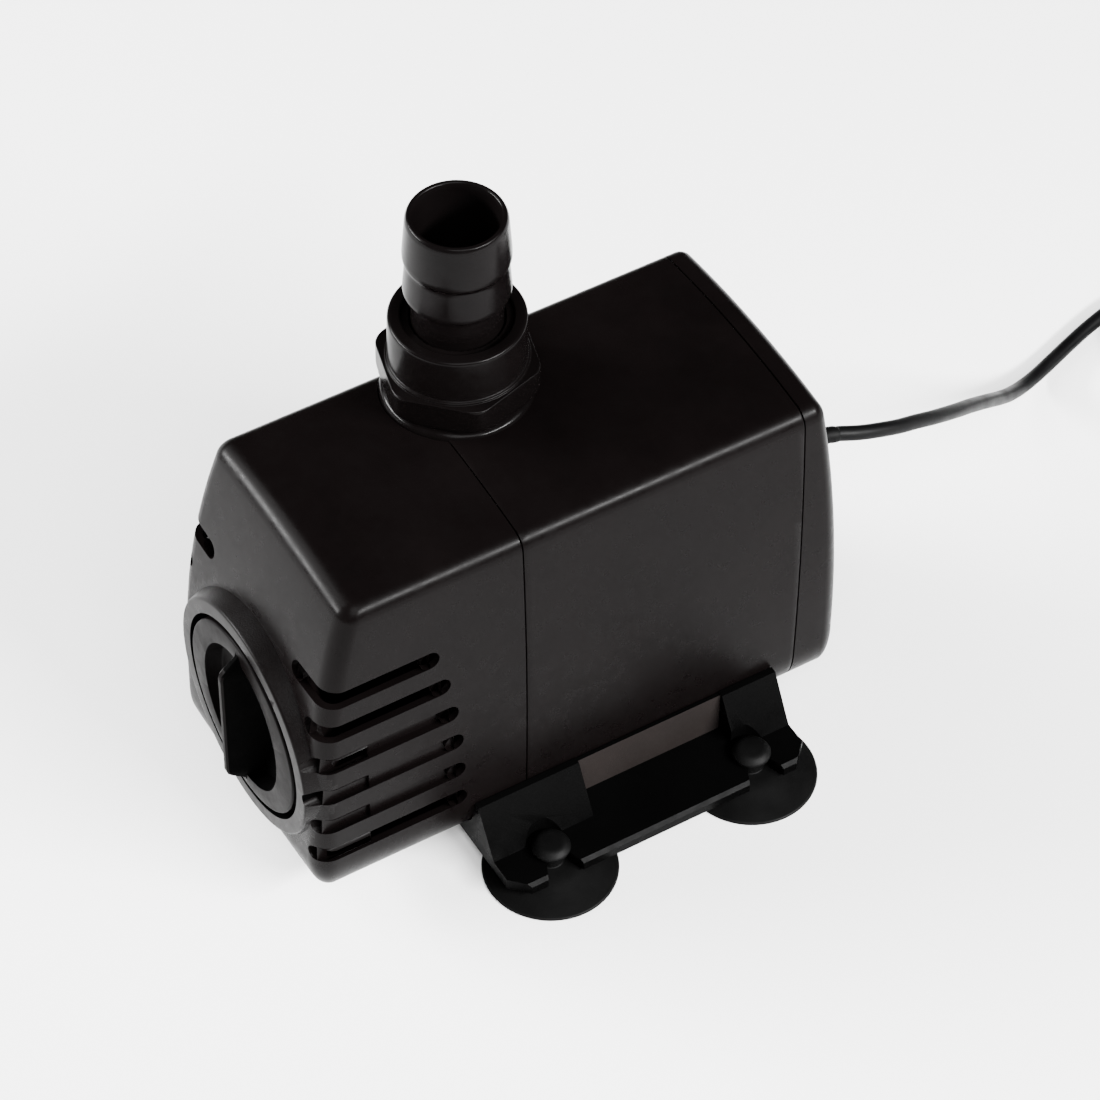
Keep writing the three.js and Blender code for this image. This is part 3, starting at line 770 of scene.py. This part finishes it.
def add_front_cover():
    """The slotted cover with the dial's raised boss, open behind for the strainer chamber."""
    cover = cut_shell("front_cover_shell", None, SEAM_FRONT - SEAM_GAP / 2)
    centre = (0, 0, AXIS_HEIGHT)
    boss = lathe("boss", rounded_profile([
        (DIAL_GAP_RADIUS - 1, DIAL_FACE, 0), (BOSS_RADIUS, DIAL_FACE, 0.9), (43.4, -87.5, 0),
        (38, BOSS_BACK, 0), (DIAL_GAP_RADIUS - 1, BOSS_BACK, 0)], 4), "y", centre, 128, closed=True)
    boolean(cover, boss, "UNION")
    boolean(cover, bar("cut", DIAL_GAP_RADIUS, -120, -80, "y", centre, 128), "DIFFERENCE")
    boolean(cover, slot_cutter(), "DIFFERENCE")
    boolean(cover, bar("cut", OUTLET_GAP_RADIUS, 100, 170, "z", OUTLET), "DIFFERENCE")
    bevel(cover, 0.5, 2, 40)
    shade(cover, 30)
    finish_piece(cover, casing_plastic, "cover", "casing_plastic", "front_cover")

    def on_boss_wall(middle, normal):
        radius = math.hypot(middle.x, middle.z - AXIS_HEIGHT)
        return BOSS_RADIUS - 0.2 < radius < 44 and -96.6 < middle.y < -86 and normal.y > -0.75

    # Painted shade: the cover's faces inside the dial's ring get the near-black material, so they stay dark
    # through the slots.
    def behind_dial(middle, normal):
        return math.hypot(middle.x, middle.z - AXIS_HEIGHT) < 39.5 and middle.y > -96.3

    paint(cover, boss_plastic, on_boss_wall)
    paint(cover, painted_shade_plastic, behind_dial)
    bore, rim = 4.5, 36
    seat = lathe("dial_seat", [
        (bore, DIAL_SEAT_FACE), (rim, DIAL_SEAT_FACE), (rim, BOSS_BACK), (bore, BOSS_BACK)],
        "y", centre, 96, closed=True)
    finish_piece(seat, casing_plastic, "cover", "casing_plastic")


def add_motor_housing():
    housing = cut_shell("motor_housing_shell", SEAM_FRONT + SEAM_GAP / 2, SEAM_REAR - SEAM_GAP / 2)
    bevel(housing, 0.4, 2, 40)
    shade(housing, 30)
    finish_piece(housing, casing_plastic, "pump_body", "casing_plastic", "motor_housing")
    boss = lathe("outlet_boss", rounded_profile([
        (0, 118, 0), (14, 118, 0), (24.3, 134, 0), (24.8, 138.6, 0.8), (24.4, 141.4, 1.4), (22, 142.6, 0.8),
        (16.3, 142.6, 0), (16.3, 124, 0), (0, 124, 0)], 5), "z", OUTLET, 96)
    finish_piece(boss, fitting_plastic, "pump_body", "casing_plastic")
    low, high = node_box("outlet_spigot")
    bore, crest, root = 11.5, 16, 15.1
    turns = 7
    pitch = 2
    profile = [(bore, low.z), (crest, low.z), (crest, high.z - 15.5)]
    for k in range(turns):
        at = high.z - 15 + k * pitch
        profile += [(crest, at), (root, at + 0.7), (root, at + 1.1), (crest, at + 1.7)]
    profile += [(15.4, high.z), (11.9, high.z), (bore, high.z - 0.5)]
    spigot = lathe("outlet_spigot_threaded", profile, "z", OUTLET, 72, closed=True)
    finish_piece(spigot, fitting_plastic, "pump_body", "casing_plastic", "outlet_spigot")


def add_rear_cap():
    """The domed cap, with four screw wells in bosses behind its face."""
    cap = cut_shell("rear_cap_shell", SEAM_REAR + SEAM_GAP / 2, None)
    hole, head_hole, head_seat = 1.9, 3.8, 88
    for x, z in ((-31, 30), (31, 30), (-29, 122), (29, 122)):
        boss = bar("screw_boss", 5.5, SEAM_REAR + 0.5, 110, "y", (x, 0, z), 32)
        boolean(boss, casing_surface("hull"), "INTERSECT")
        boolean(cap, boss, "UNION")
        well = lathe("well", [
            (0, 70), (hole, 70), (hole, head_seat), (head_hole, head_seat), (head_hole, 120), (0, 120)],
            "y", (x, 0, z), 32)
        boolean(cap, well, "DIFFERENCE")
    bevel(cap, 0.45, 2, 40)
    shade(cap, 30)
    finish_piece(cap, casing_plastic, "pump_body", "casing_plastic", "rear_cap")


add_front_cover()
add_motor_housing()
add_rear_cap()


# ------------------------------------------------------------------ dial


def add_dial():
    """A thick disc with an oval finger bowl and a narrow grip that stands up out of it."""
    centre = (0, 0, AXIS_HEIGHT)
    face = DIAL_FACE
    rim = 33.3
    thickness = 11
    disc = lathe("flow_dial_knob", rounded_profile([
        (0, face - 0.9, 0), (24, face - 0.8, 0), (rim, face - 0.3, 0.9), (rim, face + thickness, 0),
        (0, face + thickness, 0)], 4), "y", centre, 128)
    bowl_across, bowl_up, bowl_depth = 23.5, 27.0, 8.0
    bowl = lathe("bowl", rounded_profile([
        (0, face + bowl_depth, 0), (0.45, face + bowl_depth, 0), (0.93, face + 4.5, 0.3), (1, face, 0),
        (1.02, face - 3, 0), (0, face - 3, 0)], 8), "y", (0, 0, 0), 96)
    bowl.data.transform(
        Matrix.Translation((0, 0, AXIS_HEIGHT * MM)) @ Matrix.Diagonal((bowl_across, 1, bowl_up, 1)))
    boolean(disc, bowl, "DIFFERENCE")
    half = 32.0
    tip = -104.2
    stations = 40
    rings = []
    for k in range(stations + 1):
        t = -1 + 2 * k / stations
        z = AXIS_HEIGHT + half * t
        rise = smooth(3.4 * (1 - abs(t)))
        top = face + 0.5 + (tip - face - 0.5) * rise
        crest = 0.9 + 0.5 * rise
        foot = 1.2 + 1.4 * rise
        root = 1.6 + 4.4 * rise
        rings.append([
            (-root, face + 9, z), (-foot, face - 0.4, z), (-crest, top + 0.6, z), (-crest * 0.55, top, z),
            (crest * 0.55, top, z), (crest, top + 0.6, z), (foot, face - 0.4, z), (root, face + 9, z),
        ])
    grip = loft("grip", rings)
    boolean(disc, grip, "UNION")
    bevel(disc, 0.5, 3, 30)
    shade(disc, 32)
    finish_piece(disc, dial_plastic, "dial", "casing_plastic", "flow_dial")

    # Painted shade: the right half of the bowl and the grip's right flank, the side away from the light, get
    # the near-black material; the grip's tip is left out.
    def in_shaded_recess(middle, normal):
        across = middle.x / (bowl_across + 0.2)
        up = (middle.z - AXIS_HEIGHT) / (bowl_up + 0.2)
        in_bowl = across * across + up * up < 1
        on_flank = abs(middle.x) < 7 and middle.y < face - 0.6
        on_tip = middle.y < tip + 1.5 and normal.y < -0.7
        return (in_bowl or on_flank) and middle.x > -1 and middle.y < face + 9.5 and not on_tip

    paint(disc, painted_shade_plastic, in_shaded_recess)


add_dial()


# ------------------------------------------------------------------ outlet


def add_union_nut():
    """A hexagon with rounded corners and chamfered ends under a round collar."""
    low, high = node_box("union_nut")
    hex_top = 154.0
    apothem = 23.6
    corner = 1.118
    blend = 3
    count = 144
    turn = -math.pi / 12

    def hex_radius(angle, half):
        """A hexagon's radius, blended into the circle that rounds its corners."""
        sector = (angle + math.pi / 6) % (math.pi / 3) - math.pi / 6
        flat = half / math.cos(sector)
        limit = half * corner
        return -math.log(math.exp(-flat * blend) + math.exp(-limit * blend)) / blend

    rings = []
    levels = (
        (low.z, 1.6), (low.z + 1.1, 0.5), (low.z + 2, 0.15), (low.z + 3.2, 0),
        (hex_top - 1, 0), (hex_top - 0.5, 0.15), (hex_top, 0.6),
    )
    for z, shrink in levels:
        ring = []
        for i in range(count):
            angle = 2 * math.pi * i / count
            radius = hex_radius(angle - turn - math.pi / 6, apothem)
            radius = min(radius, apothem * corner - shrink)
            ring.append((OUTLET[0] + radius * math.cos(angle), OUTLET[1] + radius * math.sin(angle), z))
        rings.append(ring)
    nut = loft("union_nut_hex", rings)
    collar = lathe("collar", rounded_profile([
        (0, hex_top - 1, 0), (22.7, hex_top - 1, 0), (22.7, hex_top + 0.7, 0.3), (21.9, hex_top + 1.1, 0.3),
        (21.7, high.z, 1.4), (17.6, high.z, 0.8), (17.2, high.z - 1.2, 0.4), (0, high.z - 1.2, 0)], 5),
        "z", OUTLET, 96)
    boolean(nut, collar, "UNION")
    thread, lip, shoulder = 17.3, 15, 166.5
    bore = lathe("cut", [
        (0, 100), (thread, 100), (thread, shoulder), (lip, shoulder), (lip, 200), (0, 200)], "z", OUTLET)
    boolean(nut, bore, "DIFFERENCE")
    bevel(nut, 0.5, 3, 32)
    shade(nut, 32)
    finish_piece(nut, fitting_plastic, "nut", "fitting_plastic", "union_nut")


def add_hose_tail():
    """A turned tail with two barbs, and a flange that the nut holds down."""
    low, high = node_box("hose_tail")
    profile = rounded_profile([
        (11.7, low.z, 0), (16.2, low.z, 0), (16.2, 166.2, 0), (14.4, 166.2, 0), (14.4, 181.2, 2.0),
        (16.7, 182.8, 1.2), (16.8, 184.4, 0.8), (16.0, 194.2, 2.0), (16.0, 195.6, 0.8), (16.75, 196.6, 0.8),
        (16.85, 198.4, 0.8), (15.8, high.z - 1.4, 1.6), (15.1, high.z, 1.0), (13.9, high.z, 0.6),
        (13.3, high.z - 1.6, 1.2), (11.7, low.z + 12, 3), (11.7, low.z, 0)], 5)
    tail = lathe("hose_tail_turned", profile[:-1], "z", OUTLET, 112, closed=True)
    shade(tail, 34)
    finish_piece(tail, fitting_plastic, "hose_fitting", "fitting_plastic", "hose_tail")


add_union_nut()
add_hose_tail()


# ------------------------------------------------------------------ base


def add_cups():
    """Four suction cups: a thin lip on the floor, a neck, and a head above the plate."""
    profile = rounded_profile([
        (0, 2.4, 0), (10, 2.0, 3), (20, 0.2, 2), (22.0, 0.0, 0.4), (22.4, 0.4, 0.3), (22.0, 1.1, 0.8),
        (15, 2.6, 6), (9, 4.3, 3), (4.2, 4.5, 0.5), (4.0, 9.6, 0.3),
        (6.4, 9.9, 0.5), (6.6, 11.2, 0.9), (4.6, 13.0, 1.4), (0, 13.2, 0)], 5)
    for number in range(1, 5):
        low, high = node_box(f"suction_cup_{number}")
        middle = (low + high) / 2
        cup = lathe(f"suction_cup_moulded_{number}", profile, "z", (middle.x, middle.y, 0), 80)
        finish_piece(cup, cup_rubber, "pump_body", "soft_rubber", f"suction_cup_{number}")


def add_bracket():
    """A plate with four sloped legs, two inner walls, and a keyhole for each cup."""
    low, high = node_box("base_bracket")
    plate_top = 9.3
    window = (-1.0, 53.5)
    cut_corner = 6
    wall_top = 26.4
    bracket = prism("bracket_frame", [
        (low.x + cut_corner, low.y), (high.x - cut_corner, low.y), (high.x, low.y + cut_corner),
        (high.x, high.y - cut_corner), (high.x - cut_corner, high.y), (low.x + cut_corner, high.y),
        (low.x, high.y - cut_corner), (low.x, low.y + cut_corner)], low.z, plate_top, "z")
    pieces = []
    for sign in (-1, 1):
        wall_from = 38 if sign > 0 else 38 - 2 * MIDDLE
        wall_to = wall_from + 7.6
        slope = [(34, 8.3), (57, 8.3), (55.5, 10.5), (46.6, wall_top), (34, wall_top)]
        inner = [(wall_from, 8), (wall_to, 8), (wall_to, 26.0), (wall_from, 26.0)]
        leg_spans = ((low.y, window[0]), (window[1], high.y))
        wall_spans = ((low.y + 1, high.y - 1),)
        for outline, spans in ((slope, leg_spans), (inner, wall_spans)):
            for start, end in spans:
                pieces.append(prism("leg", [(sign * x, z) for x, z in outline], start, end))
    for piece in pieces:
        boolean(bracket, piece, "UNION")
    hull = casing_surface("hull")
    modifier = hull.modifiers.new("clearance", "DISPLACE")
    modifier.mid_level = 0
    modifier.strength = 0.4 * MM
    apply_modifiers(hull)
    boolean(bracket, hull, "DIFFERENCE")
    slot_half, mouth_half = 4.6, 8.5
    neck_radius, head_radius = 5.2, 8.2
    mouth = 75
    for number in range(1, 5):
        cup_low, cup_high = node_box(f"suction_cup_{number}")
        middle = (cup_low + cup_high) / 2
        sign = math.copysign(1, middle.x)
        edge = sign * mouth
        outline = [
            (middle.x, middle.y - slot_half), (middle.x + sign * 5, middle.y - slot_half),
            (edge, middle.y - mouth_half), (edge, middle.y + mouth_half),
            (middle.x + sign * 5, middle.y + slot_half), (middle.x, middle.y + slot_half)]
        centre = (middle.x, middle.y, 0)
        boolean(bracket, prism("cut", outline, 0, 30, "z"), "DIFFERENCE")
        boolean(bracket, bar("cut", neck_radius, 0, 30, "z", centre, 32), "DIFFERENCE")
        boolean(bracket, bar("cut", head_radius, plate_top, 40, "z", centre, 32), "DIFFERENCE")
    for sign in (-1, 1):
        chamfer = [
            (high.x - 1.2, plate_top + 1), (high.x + 1, plate_top + 1), (high.x + 1, plate_top - 2.2),
            (high.x + 0.2, plate_top - 1.4), (high.x - 1.2, plate_top)]
        edge = prism("cut", [(sign * x, z) for x, z in chamfer], low.y - 5, high.y + 5)
        boolean(bracket, edge, "DIFFERENCE")
    bevel(bracket, 0.4, 2, 40)
    shade(bracket, 32)
    finish_piece(bracket, bracket_plastic, "pump_body", "bracket_plastic", "base_bracket")

    # Painted light: the upright wall faces in the window get the lighter material, as their reflection.
    def in_window(middle, normal):
        beside_casing = abs(middle.x) > 44 and abs(normal.x) > 0.9
        return beside_casing and window[0] < middle.y < window[1] and plate_top + 1 < middle.z < 27

    # Painted highlight: the plate's top edge faces get the lighter edge material.
    def on_plate_edge(middle, normal):
        near_edge = abs(middle.x) > high.x - 1.3 and plate_top - 1.5 < middle.z
        return near_edge and normal.z > 0.25 and abs(normal.x) > 0.25

    paint(bracket, bracket_wall_painted_light, in_window)
    paint(bracket, edge_painted_highlight, on_plate_edge)


add_cups()
add_bracket()


# ------------------------------------------------------------------ inner pieces, kept from the CAD


def dress(material, *names):
    """Gives CAD nodes their finished material."""
    for name in names:
        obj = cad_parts[name]
        obj.data.materials.clear()
        obj.data.materials.append(material)


ceramic = moulded_plastic(
    "ground_ceramic", (0.75, 0.73, 0.68),
    roughness=0.25, grain=0.1, depth=0.00005)
nylon = moulded_plastic(
    "bobbin_nylon", (0.62, 0.6, 0.54),
    roughness=0.4, grain=0.3, depth=0.0001)
impeller_plastic = moulded_plastic(
    "impeller_plastic", (0.55, 0.53, 0.48),
    roughness=0.35, grain=0.2, depth=0.0001)
resin = moulded_plastic(
    "potting_resin", (0.03, 0.022, 0.018),
    roughness=0.25, grain=0.15, depth=0.0004, sparkle=300)
ferrite = moulded_plastic(
    "ferrite", (0.05, 0.05, 0.052),
    roughness=0.6, grain=0.6, depth=0.0002)
laminations = metal("laminations", (0.4, 0.41, 0.43), 0.4, (1, 60, 1), 40)
copper = metal("copper_wire", (0.6, 0.27, 0.13), 0.3, (1, 1, 50), 40)
screw_steel = metal("screw_steel", (0.62, 0.63, 0.65), 0.3, (1, 1, 1), 500)

# The inner pieces seen through the slots get the darkened plastic, partly their own dark colour and partly
# painted shade.
dress(inner_plastic_with_painted_shade, "volute", "volute_cover", "flow_shutter", "rotor_can")
dress(cup_rubber, "front_bush", "rear_bush", "outlet_o_ring")
dress(impeller_plastic, "impeller")
dress(ferrite, "rotor_magnet")
dress(ceramic, "shaft")
dress(laminations, "stator_core")
dress(nylon, "bobbin_left", "bobbin_right")
dress(copper, "winding_left", "winding_right")
dress(resin, "potting_seal")
dress(screw_steel, *[f"rear_screw_{number}" for number in range(1, 5)])


# ------------------------------------------------------------------ stage and light


def add_floor():
    half = 6.0 / MM
    corners = [(-half, -half, 0), (half, -half, 0), (half, half, 0), (-half, half, 0)]
    floor = new_object("floor", corners, [(0, 1, 2, 3)])
    material, _, _ = base_material("pale_floor", (0.9, 0.9, 0.9), 0.9, specular=0.1)
    floor.data.materials.append(material)


def add_area(name, location, target, size, power):
    """A rectangular light at a place, aimed at a target."""
    data = bpy.data.lights.new(name, "AREA")
    data.shape = "RECTANGLE"
    data.size, data.size_y = size
    data.energy = power
    light = bpy.data.objects.new(name, data)
    light.location = location
    light.rotation_euler = (Vector(target) - Vector(location)).to_track_quat("-Z", "Y").to_euler()
    bpy.context.scene.collection.objects.link(light)


def add_light():
    world = bpy.data.worlds.new("world")
    world.use_nodes = True
    world.node_tree.nodes["Background"].inputs["Color"].default_value = (1, 1, 1, 1)
    world.node_tree.nodes["Background"].inputs["Strength"].default_value = 0.05
    bpy.context.scene.world = world
    add_area("left", (-1.7, -1.5, 1.9), (0, 0, 0), (1.6, 1.6), 115)
    add_area("right", (1.6, -0.6, 2.2), (0, 0, 0), (1.6, 1.6), 105)
    add_area("behind", (1.5, 1.6, 1.5), (0, 0, 0), (1.2, 1.2), 45)
    add_area("front_edge", (-1.24, -1.65, 0.77), (0, 0, 0.08), (1.3, 0.2), 240)
    add_area("side_edge", (1.65, 0.76, 1.24), (0, 0, 0.08), (1.3, 0.2), 240)


add_floor()
add_light()
